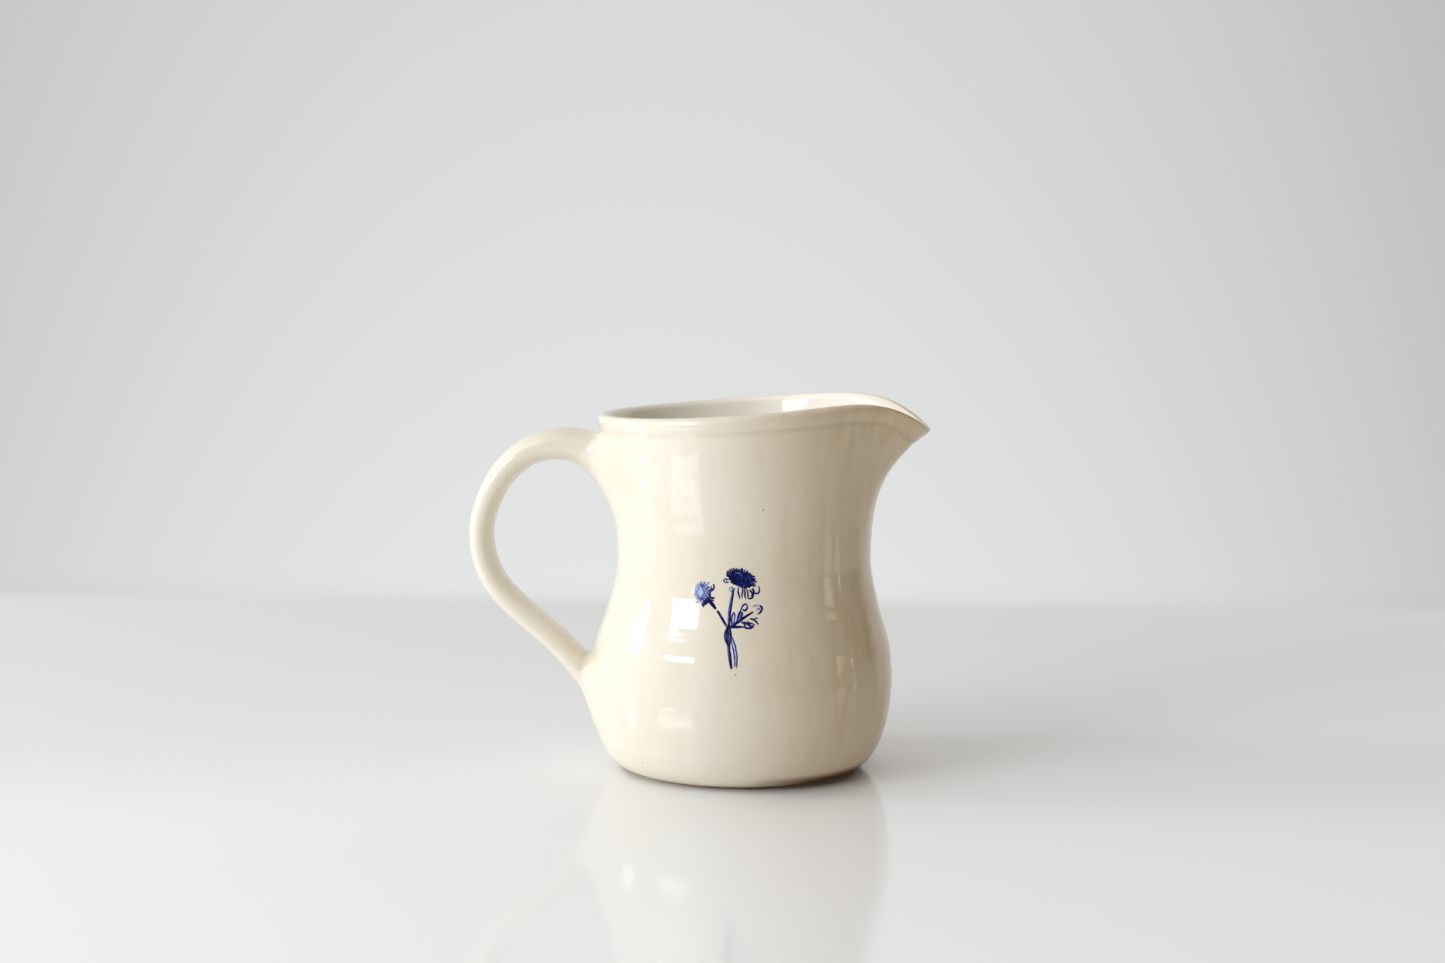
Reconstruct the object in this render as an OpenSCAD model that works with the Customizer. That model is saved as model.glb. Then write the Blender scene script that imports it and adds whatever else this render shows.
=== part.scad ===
// Porcelain cream jug: a wheel-thrown vessel with a pulled spout and a strap handle.
// Millimetres, +Z up. The origin is the centre of the foot, on the table.
// The spout points along +X, the handle along -X and the print faces -Y.

/* [Vessel] */
// Height of the lip beside the handle
rim_height = 88; // [84:0.5:92]
// Outer radius of the lip before the spout is pulled
rim_radius = 35; // [34:0.5:36.5]
// Outer radius of the waist
waist_radius = 31.3; // [30:0.1:32.5]
// Height of the waist
waist_height = 53; // [50:1:56]
// Outer radius of the belly
belly_radius = 37.4; // [36:0.1:39]
// Height of the belly
belly_height = 23.5; // [22:0.5:25]
// Radius where the wall meets the underside
base_radius = 28.6; // [28:0.1:30]
// How far the neck leans over towards the spout
neck_lean = 0.8; // [0:0.1:2]

/* [Wall] */
// Thickness of the wall at the waist and the belly
wall = 3.4; // [2.8:0.1:4]
// Thickness of the lip
lip = 2.8; // [2.2:0.1:3.4]
// Height of the inner floor above the table
floor_height = 5; // [4:0.5:6]
// Thickness of the fired glaze
glaze = 0.3; // [0.2:0.05:0.4]

/* [Foot] */
// Outer radius of the foot ring
foot_radius = 27.4; // [26:0.2:27.6]
// Inner radius of the foot ring
foot_inner_radius = 23; // [21:0.5:24]
// Height of the foot ring below the underside
foot_height = 0.8; // [0.6:0.1:1.2]

/* [Spout] */
// How far the spout is pulled out past the round rim
spout_reach = 11.5; // [9:0.5:13]
// Half the angle of rim that the spout draws on
spout_half_angle = 79; // [70:1:90]
// Height where the spout starts to leave the neck
spout_root = 60; // [57:1:64]
// How much the rim rises towards the spout
rim_rise = 4.8; // [3:0.2:6]
// How far the pouring tip dips below the rise
tip_dip = 8; // [6:0.5:9]
// Angle over which the tip dips
tip_angle = 20; // [16:1:26]

/* [Handle] */
// Distance from the jug's axis to the middle of the strap at its furthest
handle_reach = 64.8; // [62:0.2:67]
// Height of the strap at its furthest
handle_bow_height = 58.4; // [56:0.2:60]
// Height of the strap's upper end, buried in the neck
handle_top_height = 75; // [74:0.5:77]
// Height of the strap's lower end, buried in the belly
handle_foot_height = 10; // [9:0.5:12]
// Width of the strap at its narrowest
strap_width = 11.5; // [10:0.5:13]
// Thickness of the strap at its thinnest
strap_thickness = 5.4; // [5:0.2:6]
// Radius of the slip under the strap at the neck
upper_slip_inside = 8; // [6:0.5:9]
// Radius of the slip over the strap at the neck, where the lip leaves little room
upper_slip_outside = 1.6; // [1:0.2:2.4]
// Radius of the slip above the strap at the belly
lower_slip_inside = 2.6; // [2:0.2:4]
// Radius of the slip below the strap at the belly
lower_slip_outside = 2; // [1.6:0.2:2.6]

/* [Print] */
// Thickness of the ink
ink = 0.15; // [0.1:0.05:0.25]
// Radius of the large blossom
large_blossom_radius = 4.6; // [4:0.2:5.2]
// Radius of the small blossom
small_blossom_radius = 2.8; // [2.4:0.2:3.2]
// Width of a stem
stem_width = 0.7; // [0.5:0.1:0.9]
// Width of the leaf
leaf_width = 3.6; // [3:0.2:4.2]

/* [Hidden] */

CLAY = [0.93, 0.90, 0.83];
SLIP = [0.90, 0.86, 0.77];
GLAZE = [0.97, 0.95, 0.89];
INK = [0.06, 0.12, 0.50];

// ---- Curves ----
function bezier(p, t) =
    pow(1 - t, 3) * p[0] + 3 * pow(1 - t, 2) * t * p[1] + 3 * (1 - t) * t * t * p[2] + pow(t, 3) * p[3];
function curve(p, n) = [for (i = [0 : n - 1]) bezier(p, i / n)];
function smooth(t) = t * t * (3 - 2 * t);
function clamp(t) = min(max(t, 0), 1);

// ---- Wall section: [radius, height] of the round jug, before the spout is pulled ----
lip_round = lip / 2;
shoulder = rim_height - lip_round;
// How far each curve runs straight on from its ends before it bends away
foot_run = [6, 1.5];
belly_run_down = 13;
belly_run_up = 7;
waist_run_down = 8;
waist_run_up = 12;
rim_run = [1.7, 14];
base_curve = [[base_radius, foot_height], [base_radius + foot_run[0], foot_height + foot_run[1]],
              [belly_radius, belly_height - belly_run_down], [belly_radius, belly_height]];
belly_curve = [[belly_radius, belly_height], [belly_radius, belly_height + belly_run_up],
               [waist_radius, waist_height - waist_run_down], [waist_radius, waist_height]];
neck_curve = [[waist_radius, waist_height], [waist_radius, waist_height + waist_run_up],
              [rim_radius - rim_run[0], shoulder - rim_run[1]], [rim_radius, shoulder]];
lip_steps = 4;
lip_arc = [for (i = [0 : lip_steps])
    [rim_radius - lip_round + lip_round * cos(i * 180 / lip_steps),
     shoulder + lip_round * sin(i * 180 / lip_steps)]];

// The same section inside, down to a flat floor
inner_waist = waist_radius - wall;
inner_belly = belly_radius - wall;
inner_rim = rim_radius - lip;
floor_radius = 19;
floor_run = [7, 0.4];
inner_belly_run = 10;
inner_neck_curve = [[inner_rim, shoulder], [inner_rim - rim_run[0], shoulder - rim_run[1]],
                    [inner_waist, waist_height + waist_run_up], [inner_waist, waist_height]];
inner_belly_curve = [[inner_waist, waist_height], [inner_waist, waist_height - waist_run_down],
                     [inner_belly, belly_height + belly_run_up], [inner_belly, belly_height]];
inner_base_curve = [[inner_belly, belly_height], [inner_belly, belly_height - inner_belly_run],
                    [floor_radius + floor_run[0], floor_height + floor_run[1]], [floor_radius, floor_height]];
base_steps = 7;
belly_steps = 7;
neck_steps = 8;
outer_section = concat(curve(base_curve, base_steps), curve(belly_curve, belly_steps),
                       curve(neck_curve, neck_steps));
inner_section = concat(lip_arc, [for (i = [1 : neck_steps - 1]) bezier(inner_neck_curve, i / neck_steps)],
                       curve(inner_belly_curve, belly_steps - 1), curve(inner_base_curve, base_steps),
                       [[floor_radius, floor_height]]);

// ---- Pulling the round jug into shape ----
rim_sharpness = 1.3;
pull_sharpness = 3;
function turned(a) = min(abs(a), 360 - abs(a));
// 1 towards the spout, falling smoothly to 0 at an angle of 180
function facing(a) = (1 + cos(a)) / 2;
function rim_at(a) =
    rim_height + rim_rise * pow(facing(a), rim_sharpness) - tip_dip * exp(-pow(turned(a) / tip_angle, 2));
function pull_at(a) =
    spout_reach * pow(facing(180 * min(turned(a) / spout_half_angle, 1)), pull_sharpness);
function lean_at(z) = neck_lean * smooth(clamp(z / waist_height));
function raised(z, a) =
    z <= waist_height ? z
    : waist_height + (z - waist_height) * (rim_at(a) - waist_height) / (rim_height - waist_height);
function placed(p, a) =
    let (z = raised(p[1], a),
         share = clamp((z - spout_root) / (rim_at(a) - spout_root)),
         r = p[0] + pull_at(a) * pow(share, pull_sharpness))
    [r * cos(a) + lean_at(z), r * sin(a), z];

// Sides are closer together round the spout than behind the handle
sides = 48;
crowding = 24;
azimuths = [for (i = [0 : sides - 1]) let (t = 360 * i / sides) t - crowding * sin(t)];

function middle(ring) = [for (axis = [0 : 2]) ring_sum(ring, axis) / len(ring)];
function ring_sum(ring, axis) = [for (p = ring) p[axis]] * [for (p = ring) 1];

// A closed skin through a list of rings, all with the same number of points. Its ends are capped,
// or with looped it comes back round to its first ring.
module skin(rings, looped = false) {
    n = len(rings[0]);
    last = (len(rings) - 1) * n;
    start_pole = len(rings) * n;
    walls = [for (k = [0 : len(rings) - (looped ? 1 : 2)]) for (i = [0 : n - 1])
        let (j = (i + 1) % n, near = k * n, far = (k + 1) % len(rings) * n)
        each [[near + i, far + i, near + j], [near + j, far + i, far + j]]];
    start = [for (i = [0 : n - 1]) [start_pole, i, (i + 1) % n]];
    end = [for (i = [0 : n - 1]) [start_pole + 1, last + (i + 1) % n, last + i]];
    polyhedron(points = concat([for (ring = rings) each ring], [middle(rings[0]), middle(rings[len(rings) - 1])]),
               faces = looped ? walls : concat(walls, start, end), convexity = 8);
}

module turned_skin(section, looped = false) {
    skin([for (p = section) [for (a = azimuths) placed(p, a)]], looped);
}

body_section = concat(outer_section, inner_section);
crest = len(outer_section) + lip_steps / 2;
glaze_line = 1;
function stretch(list, first, last) = [for (i = [first : last > first ? 1 : -1 : last]) list[i]];
function glazed(i) =
    let (t = body_section[min(i + 1, len(body_section) - 1)] - body_section[i - 1])
    body_section[i] + glaze * [t[1], -t[0]] / norm(t);
glaze_section = concat([body_section[0]], [for (i = [1 : len(body_section) - 1]) glazed(i)]);

// The space inside the outside of the clay, or of the glaze, which pieces on it are cut to
module vessel_outside() {
    turned_skin(stretch(body_section, 0, crest));
}
module glazed_outside() {
    turned_skin(stretch(glaze_section, 0, crest));
}

// How far the foot ring reaches up into the clay, and how many sides it is drawn with
foot_bite = 1;
foot_sides = 96;

module thrown_body() {
    color(CLAY) union() {
        turned_skin(body_section);
        rotate_extrude($fn = foot_sides)
            translate([foot_inner_radius, 0])
                square([foot_radius - foot_inner_radius, foot_height + foot_bite]);
    }
}

// ---- Handle: u runs from -1 at the neck, through 0 at the bow, to 1 at the belly ----
// How far from the axis the strap's ends are buried: at the neck and at the belly
neck_root = 28;
belly_root = 31;
// How far the strap's curves run straight on from the neck, from the bow and from the belly
neck_run = [28, 16.8];
bow_run_up = 6.8;
bow_run_down = 21.8;
belly_run = [13, 29];
upper_path = [[-neck_root, handle_top_height], [-neck_root - neck_run[0], handle_top_height + neck_run[1]],
              [-handle_reach, handle_bow_height + bow_run_up], [-handle_reach, handle_bow_height]];
lower_path = [[-handle_reach, handle_bow_height], [-handle_reach, handle_bow_height - bow_run_down],
              [-belly_root - belly_run[0], handle_foot_height + belly_run[1]],
              [-belly_root, handle_foot_height]];
function strap_at(u) = u < 0 ? bezier(upper_path, u + 1) : bezier(lower_path, u);
step = 0.01;
function strap_heading(u) =
    let (d = strap_at(min(u + step, 1)) - strap_at(max(u - step, -1)))
    d / norm(d);
// How much the strap grows towards its ends: thicker at the neck, thicker at the belly, and wider
neck_swell = 0.6;
belly_swell = 0.05;
width_swell = 0.3;
function strap_half(u) =
    [strap_thickness / 2 * (1 + (u < 0 ? neck_swell : belly_swell) * u * u),
     strap_width / 2 * (1 + width_swell * u * u)];

ring_points = 20;
// Below 1 the strap's section is fuller than an oval
fullness = 0.85;
function rounded(v) = sign(v) * pow(abs(v), fullness);
// The thinnest film of slip, where a join dies out along the strap
slip_thin = 0.12;
// Radius of the slip at the strap's end, [inside, outside] of the bow
function slip_at(u) =
    u < 0 ? [upper_slip_inside, upper_slip_outside] : [lower_slip_inside, lower_slip_outside];
// Ring of the strap at u: bare, or built up with slip near the wall, and grown by a coat
function strap_ring(u, slipped, coat) =
    let (c = strap_at(u), h = strap_heading(u), half = strap_half(u))
    [for (i = [0 : ring_points - 1])
        let (a = 360 * i / ring_points,
             across = rounded(cos(a)),
             along = rounded(sin(a)),
             bare = strap_point(c, h, half[0] * across, half[1] * along),
             reach = slip_at(u) * [1 - cos(a), 1 + cos(a)] / 2,
             film = coat + (slipped ? slip_thin : 0),
             slip = slipped ? build_up(clearance(bare), reach) : 0,
             up_wall = u < 0 ? slip * across : -slip * across)
        strap_point(c, h, (half[0] + film) * across, (half[1] + film) * along) + [0, slip * along, up_wall]];
// Slip spreads along the wall. It is thickest at the wall and dies out over its radius on both sides.
function build_up(gap, radius) = radius * pow(1 - clamp(abs(gap) / radius), 2);
function strap_point(c, h, across, along) = [c[0] + h[1] * across, along, c[1] - h[0] * across];

outer_table = [for (p = outer_section) [p[1], p[0]]];
function wall_radius(z) = lookup(z, outer_table);
function clearance(p) = norm([p[0] - lean_at(p[2]), p[1]]) - wall_radius(p[2]);

// Rings are closer together towards the strap's two ends
last_ring = 36;
function station(i) = -cos(180 * i / last_ring);
module strap(first = 0, last = last_ring, slipped = false, coat = 0) {
    skin([for (i = [first : last]) strap_ring(station(i), slipped, coat)]);
}
upper_join_rings = [1, 8];
lower_join_rings = [27, 33];
module built_up(rings) {
    strap(rings[0], rings[1], slipped = true);
}

module pulled_handle() {
    color(CLAY) difference() {
        strap();
        vessel_outside();
    }
}

module slip_join(rings) {
    color(SLIP) difference() {
        built_up(rings);
        strap();
        vessel_outside();
    }
}

module upper_slip_join() {
    slip_join(upper_join_rings);
}

module lower_slip_join() {
    slip_join(lower_join_rings);
}

// ---- Glaze ----
module outer_glaze() {
    color(GLAZE) difference() {
        turned_skin(concat(stretch(glaze_section, glaze_line, crest), stretch(body_section, crest, glaze_line)),
                    looped = true);
        strap();
        built_up(upper_join_rings);
        built_up(lower_join_rings);
    }
}

module inner_glaze() {
    last = len(body_section) - 1;
    color(GLAZE) turned_skin(concat(stretch(body_section, last, crest), stretch(glaze_section, crest, last)));
}

module handle_glaze() {
    color(GLAZE) difference() {
        strap(slipped = true, coat = glaze);
        strap();
        built_up(upper_join_rings);
        built_up(lower_join_rings);
        glazed_outside();
    }
}

// ---- Print, fired onto the glaze: s is the distance round the wall from the middle of the
// jug's face, z the height ----
function on_wall(s, z, lift) =
    let (r = wall_radius(z), a = s / r * 180 / PI - 90)
    [(r + glaze + lift) * cos(a) + lean_at(z), (r + glaze + lift) * sin(a), z];

// How deep a print is sunk before it is cut to the wall, and how thin a stroke's ends are
sunk = 0.4;
thin_end = 0.3;
// Size of the ring inside a plate of ink, which keeps its top on the curve of the wall
plate_middle = 0.5;

// A thin plate of ink inside a closed outline, which lies on the wall
module ink_plate(centre, outline) {
    layers = [[1, -sunk], [1, ink], [plate_middle, ink]];
    rings = [for (l = layers) [for (p = outline)
        let (q = centre + (p - centre) * l[0])
        on_wall(q[0], q[1], l[1])]];
    skin(rings);
}

// Each petal is drawn with four points, and the notch between two petals is this deep
petal_points = 4;
petal_notch = 0.2;
function blossom_outline(centre, radius, petals, squash) =
    let (count = petal_points * petals)
    [for (i = [0 : count - 1])
        let (a = 360 * i / count, r = radius * (1 - petal_notch * (1 - abs(cos(a * petals / 2)))))
        centre + [r * cos(a), r * sin(a) * squash]];

module printed_blossom(centre, radius, petals, squash) {
    color(INK) difference() {
        ink_plate(centre, blossom_outline(centre, radius, petals, squash));
        glazed_outside();
    }
}

large_blossom_centre = [0.6, 50.7];
large_petals = 11;
large_squash = 0.8;
small_blossom_centre = [-8.4, 47.8];
small_petals = 7;
small_squash = 0.95;
stem_fork = [-1.7, 40.3];
stem_foot = [0.5, 31.2];

module large_blossom_print() {
    printed_blossom(large_blossom_centre, large_blossom_radius, large_petals, large_squash);
}

module small_blossom_print() {
    printed_blossom(small_blossom_centre, small_blossom_radius, small_petals, small_squash);
}

// A stroke of ink along a curve, which swells from its ends to its middle. Lobes pinch it in between.
lobe_pinch = 0.35;
module ink_stroke(path, width, steps = 12, lobes = 0) {
    skin([for (i = [0 : steps])
        let (t = i / steps,
             c = bezier(path, t),
             d = bezier(path, min(t + step, 1)) - bezier(path, max(t - step, 0)),
             side = [-d[1], d[0]] / norm(d),
             swell = sin(180 * t) * (1 - lobe_pinch * pow(sin(180 * lobes * t), 2)),
             half = side * width / 2 * (thin_end + (1 - thin_end) * swell),
             left = c + half,
             right = c - half)
        [on_wall(left[0], left[1], ink), on_wall(right[0], right[1], ink),
         on_wall(right[0], right[1], -sunk), on_wall(left[0], left[1], -sunk)]]);
}

large_stem = [large_blossom_centre - [0.2, 3.2], [0, 44], [-1.9, 42], [-1.6, 36.5]];
small_stem = [small_blossom_centre + [1, -2.3], [-5.5, 43.5], [-3, 43], stem_fork];
// How much wider than a stem the large stem and the right strand are
large_stem_share = 1.3;
right_strand_share = 1.5;
left_strand = [[-1.6, 37], [-2.6, 34.5], [-1.5, 33.5], [-0.3, 31.8]];
right_strand = [stem_fork, [-1.2, 38], [1.2, 37], stem_foot];
leaf_midrib = [[-1.2, 41], [1.2, 40.8], [3.2, 44.2], [6.4, 45.4]];

module stem_print() {
    color(INK) difference() {
        union() {
            ink_stroke(large_stem, stem_width * large_stem_share);
            ink_stroke(small_stem, stem_width);
            ink_stroke(left_strand, stem_width);
            ink_stroke(right_strand, stem_width * right_strand_share);
        }
        glazed_outside();
    }
}

module leaf_print() {
    color(INK) difference() {
        ink_stroke(leaf_midrib, leaf_width, steps = 24, lobes = 4);
        glazed_outside();
    }
}

thrown_body();
pulled_handle();
upper_slip_join();
lower_slip_join();
outer_glaze();
inner_glaze();
handle_glaze();
large_blossom_print();
small_blossom_print();
stem_print();
leaf_print();
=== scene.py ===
# Porcelain cream jug: clay, slip, glaze and a cobalt print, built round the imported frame.
import math
import random

import bmesh
import bpy
import numpy as np
from mathutils import Matrix, Vector


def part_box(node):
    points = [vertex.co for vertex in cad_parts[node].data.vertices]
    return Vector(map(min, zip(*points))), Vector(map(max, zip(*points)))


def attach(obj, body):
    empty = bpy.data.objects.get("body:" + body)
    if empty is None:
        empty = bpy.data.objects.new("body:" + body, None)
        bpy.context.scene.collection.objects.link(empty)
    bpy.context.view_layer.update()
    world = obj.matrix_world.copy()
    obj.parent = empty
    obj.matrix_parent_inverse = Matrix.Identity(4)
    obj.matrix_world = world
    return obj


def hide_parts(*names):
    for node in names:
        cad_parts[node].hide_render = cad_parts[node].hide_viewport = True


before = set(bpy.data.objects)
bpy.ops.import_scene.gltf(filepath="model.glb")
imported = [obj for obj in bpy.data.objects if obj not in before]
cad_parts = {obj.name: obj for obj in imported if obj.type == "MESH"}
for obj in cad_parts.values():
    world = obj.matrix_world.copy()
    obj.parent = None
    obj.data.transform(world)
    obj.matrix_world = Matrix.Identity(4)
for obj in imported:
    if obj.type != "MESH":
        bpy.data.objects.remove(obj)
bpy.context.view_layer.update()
print("frame loaded:", len(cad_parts), "nodes")

mm = 0.001  # every shape below is worked out in millimetres and placed in metres


def bezier(points, t):
    a, b, c, d = [np.array(point, float) for point in points]
    return (1 - t) ** 3 * a + 3 * (1 - t) ** 2 * t * b + 3 * (1 - t) * t ** 2 * c + t ** 3 * d


def curve(points, steps):
    return [bezier(points, step / steps) for step in range(steps)]


def smooth(t):
    return t * t * (3 - 2 * t)


def clamp(t):
    return min(max(t, 0), 1)


def hump(value, middle, width):
    return math.exp(-((value - middle) / width) ** 2)


def cosine(degrees):
    return math.cos(math.radians(degrees))


def sine(degrees):
    return math.sin(math.radians(degrees))


# The thrown vessel: heights and radii in millimetres
bodyLow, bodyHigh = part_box("thrown_body")
vessel = {
    "rimHeight": 88, "rimRadius": 35,
    "waistHeight": 53, "waistRadius": 31.3,
    "bellyHeight": 23.5, "bellyRadius": bodyHigh.y / mm,
    "baseRadius": 28.6, "neckLean": 0.8,
    "wall": 3.4, "lip": 2.8, "floorHeight": 5, "floorRadius": 19, "glaze": 0.3,
    "footOuter": 27.4, "footInner": 23, "footHeight": 0.8, "footRound": 0.35,
    # how far each curve of the outline runs on from its ends before it bends
    "heelRun": (6, 1.5), "bellyFall": 13, "bellyRise": 7, "waistFall": 8, "waistRise": 12,
    "rimLean": 1.7, "rimFall": 14, "innerBellyFall": 10, "floorRun": (7, 0.4),
    "spoutReach": 11.5, "spoutHalfAngle": 79, "spoutRoot": 60,
    "rimRise": 4.8, "tipDip": 8, "tipAngle": 20,
    "backFlare": 1.3,          # how far the rim leans out over the handle
    "flareFrom": 78, "flareRise": 10, "flareAngle": 50,
    "glazeLine": 1.0,          # where the glaze was wiped back from the foot
    "wipedEdge": (-0.12, 0.1),
    "innerDepth": 1.6, "innerLow": 2,    # further in and higher than this is the inside
    "sides": 160,
    # throwing marks: height, width and depth of each, in from the surface
    "marks": [(60.8, 1.1, 0.07), (26.4, 1.6, 0.10), (10.2, 1.0, 0.14), (6.3, 0.9, 0.14), (84.0, 1.2, 0.34),
              (32.2, 3.4, -0.3)],
    "ripple": 0.02, "ripplePitch": 5.2,
    "innerRipple": 0.12, "innerRipplePitch": 7.5,
    "handWander": 0.12,        # how far the wall wanders from true round
}


def throwingMark(height):
    ripple = vessel["ripple"] * sine(360 * height / vessel["ripplePitch"])
    return ripple - sum(depth * hump(height, at, width) for at, width, depth in vessel["marks"])


def outerOutline(scale=1):
    # From the foot up to the lip; a larger scale gives more points
    v = vessel
    shoulder = v["rimHeight"] - v["lip"] / 2
    heelOut, heelUp = v["heelRun"]
    base = [(v["baseRadius"], v["footHeight"]), (v["baseRadius"] + heelOut, v["footHeight"] + heelUp),
            (v["bellyRadius"], v["bellyHeight"] - v["bellyFall"]), (v["bellyRadius"], v["bellyHeight"])]
    belly = [(v["bellyRadius"], v["bellyHeight"]), (v["bellyRadius"], v["bellyHeight"] + v["bellyRise"]),
             (v["waistRadius"], v["waistHeight"] - v["waistFall"]), (v["waistRadius"], v["waistHeight"])]
    neck = [(v["waistRadius"], v["waistHeight"]), (v["waistRadius"], v["waistHeight"] + v["waistRise"]),
            (v["rimRadius"] - v["rimLean"], shoulder - v["rimFall"]), (v["rimRadius"], shoulder)]
    return curve(base, 26 * scale) + curve(belly, 28 * scale) + curve(neck, 30 * scale)


def lipOutline(steps=12):
    bead = vessel["lip"] / 2
    centre = np.array([vessel["rimRadius"] - bead, vessel["rimHeight"] - bead])
    return [centre + bead * np.array([cosine(180 * i / steps), sine(180 * i / steps)])
            for i in range(steps + 1)]


def innerOutline():
    v = vessel
    shoulder = v["rimHeight"] - v["lip"] / 2
    rim = v["rimRadius"] - v["lip"]
    waist = v["waistRadius"] - v["wall"]
    belly = v["bellyRadius"] - v["wall"]
    floorOut, floorUp = v["floorRun"]
    neckCurve = [(rim, shoulder), (rim - v["rimLean"], shoulder - v["rimFall"]),
                 (waist, v["waistHeight"] + v["waistRise"]), (waist, v["waistHeight"])]
    bellyCurve = [(waist, v["waistHeight"]), (waist, v["waistHeight"] - v["waistFall"]),
                  (belly, v["bellyHeight"] + v["bellyRise"]), (belly, v["bellyHeight"])]
    baseCurve = [(belly, v["bellyHeight"]), (belly, v["bellyHeight"] - v["innerBellyFall"]),
                 (v["floorRadius"] + floorOut, v["floorHeight"] + floorUp),
                 (v["floorRadius"], v["floorHeight"])]
    points = curve(neckCurve, 18)[1:] + curve(bellyCurve, 14) + curve(baseCurve, 14)
    ripple = v["innerRipple"]
    thrown = [point - np.array([ripple * (0.5 + 0.5 * sine(360 * point[1] / v["innerRipplePitch"])), 0])
              for point in points]
    floorRings = [np.array([v["floorRadius"] * (1 - i / 5), v["floorHeight"]]) for i in range(6)]
    return thrown + floorRings


outerTable = outerOutline(4)
tableHeights = [point[1] for point in outerTable]
tableRadii = [point[0] for point in outerTable]


def wander(azimuth, height):
    # Two slow waves round the wall, which grow up from the foot
    swing = 0.6 * cosine(2 * azimuth - 40) + 0.4 * cosine(3 * azimuth + 65 + height)
    return vessel["handWander"] * swing * smooth(clamp(height / 30)) - vessel["handWander"]


def wallRadius(height, azimuth=180):
    return float(np.interp(height, tableHeights, tableRadii)) + throwingMark(height) + wander(azimuth, height)


def leanAt(height):
    return vessel["neckLean"] * smooth(clamp(height / vessel["waistHeight"]))


def turned(azimuth):
    return min(abs(azimuth), 360 - abs(azimuth))


def rimAt(azimuth):
    v = vessel
    rise = v["rimRise"] * ((1 + cosine(azimuth)) / 2) ** 1.3
    return v["rimHeight"] + rise - v["tipDip"] * hump(turned(azimuth), 0, v["tipAngle"])


def pullAt(azimuth):
    share = min(turned(azimuth) / vessel["spoutHalfAngle"], 1)
    return vessel["spoutReach"] * ((1 + cosine(180 * share)) / 2) ** 3


def pulled(radius, height, azimuth):
    # The round jug's wall point, drawn out into the rim's rise and the spout
    v = vessel
    if height > v["waistHeight"]:
        growth = (rimAt(azimuth) - v["waistHeight"]) / (v["rimHeight"] - v["waistHeight"])
        height = v["waistHeight"] + (height - v["waistHeight"]) * growth
    draw = clamp((height - v["spoutRoot"]) / (rimAt(azimuth) - v["spoutRoot"])) ** 3
    flare = v["backFlare"] * hump(turned(azimuth), 180, v["flareAngle"])
    flare *= clamp((height - v["flareFrom"]) / v["flareRise"]) ** 2
    radius += pullAt(azimuth) * draw + wander(azimuth, height) + flare
    return Vector((radius * cosine(azimuth) + leanAt(height), radius * sine(azimuth), height)) * mm


def offsetOutline(points, distance):
    # Moves an outline sideways, to the right of the way it runs: out of the clay
    moved = []
    for i, point in enumerate(points):
        before = points[max(i - 1, 0)]
        after = points[min(i + 1, len(points) - 1)]
        along = (after - before) / np.linalg.norm(after - before)
        moved.append(point + distance * np.array([along[1], -along[0]]))
    return moved


def withMarks(points):
    return [np.array([point[0] + throwingMark(point[1]), point[1]]) for point in points]


def turnedSkin(outline):
    # An outline in millimetres, spun right round and drawn into shape; the height each point was thrown
    # at stays with it, as -1 on the inside
    v = vessel
    bm = bmesh.new()
    last = None
    for radius, height in outline:
        vert = bm.verts.new((max(radius, 0), 0, height))
        if last:
            bm.edges.new((last, vert))
        last = vert
    bmesh.ops.spin(bm, geom=bm.verts[:] + bm.edges[:], cent=(0, 0, 0), axis=(0, 0, 1), dvec=(0, 0, 0),
                   angle=2 * math.pi, steps=vessel["sides"], use_merge=True)
    bmesh.ops.remove_doubles(bm, verts=bm.verts, dist=1e-4)
    thrown = bm.verts.layers.float.new("thrownHeight")
    for vert in bm.verts:
        radius = math.hypot(vert.co.x, vert.co.y)
        innerWall = np.interp(vert.co.z, tableHeights, tableRadii) - v["innerDepth"]
        inside = radius < innerWall and vert.co.z > v["innerLow"]
        vert[thrown] = -1 if inside else vert.co.z
        azimuth = math.degrees(math.atan2(vert.co.y, vert.co.x))
        if radius < 1e-3:
            vert.co = Vector((leanAt(vert.co.z), 0, vert.co.z)) * mm
        else:
            vert.co = pulled(radius, vert.co.z, azimuth)
    bmesh.ops.recalc_face_normals(bm, faces=bm.faces)
    return bm


def finishPiece(bm, name, material, nodes, modifiers=()):
    mesh = bpy.data.meshes.new(name)
    for face in bm.faces:
        face.smooth = True
    bm.to_mesh(mesh)
    bm.free()
    piece = bpy.data.objects.new(name, mesh)
    bpy.context.scene.collection.objects.link(piece)
    mesh.materials.append(material)
    for kind, settings in modifiers:
        modifier = piece.modifiers.new(kind.title(), kind)
        for setting, value in settings.items():
            setattr(modifier, setting, value)
    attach(piece, "root")
    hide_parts(*nodes)
    print(name, "built:", len(mesh.polygons), "faces")
    return piece


def clayBodyOutline():
    v = vessel
    inner, outer, edge, top = v["footInner"], v["footOuter"], v["footRound"], v["footHeight"]
    underside = [(0, top), (inner * 0.5, top), (inner - edge, top), (inner, top - edge * 0.5),
                 (inner + edge * 0.3, edge * 0.3), (inner + edge, 0), (outer - edge, 0),
                 (outer - edge * 0.3, edge * 0.3), (outer, top - edge * 0.5), (outer + edge * 0.6, top)]
    underside = [np.array(point, float) for point in underside]
    return underside + withMarks(outerOutline()) + lipOutline() + innerOutline()


def glazeCoatOutline():
    outer = [point for point in withMarks(outerOutline()) if point[1] >= vessel["glazeLine"]]
    clay = outer + lipOutline() + innerOutline()
    coat = offsetOutline(clay, vessel["glaze"])
    coat[0] = coat[0] + np.array(vessel["wipedEdge"])
    return coat[::-1] + clay


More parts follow.
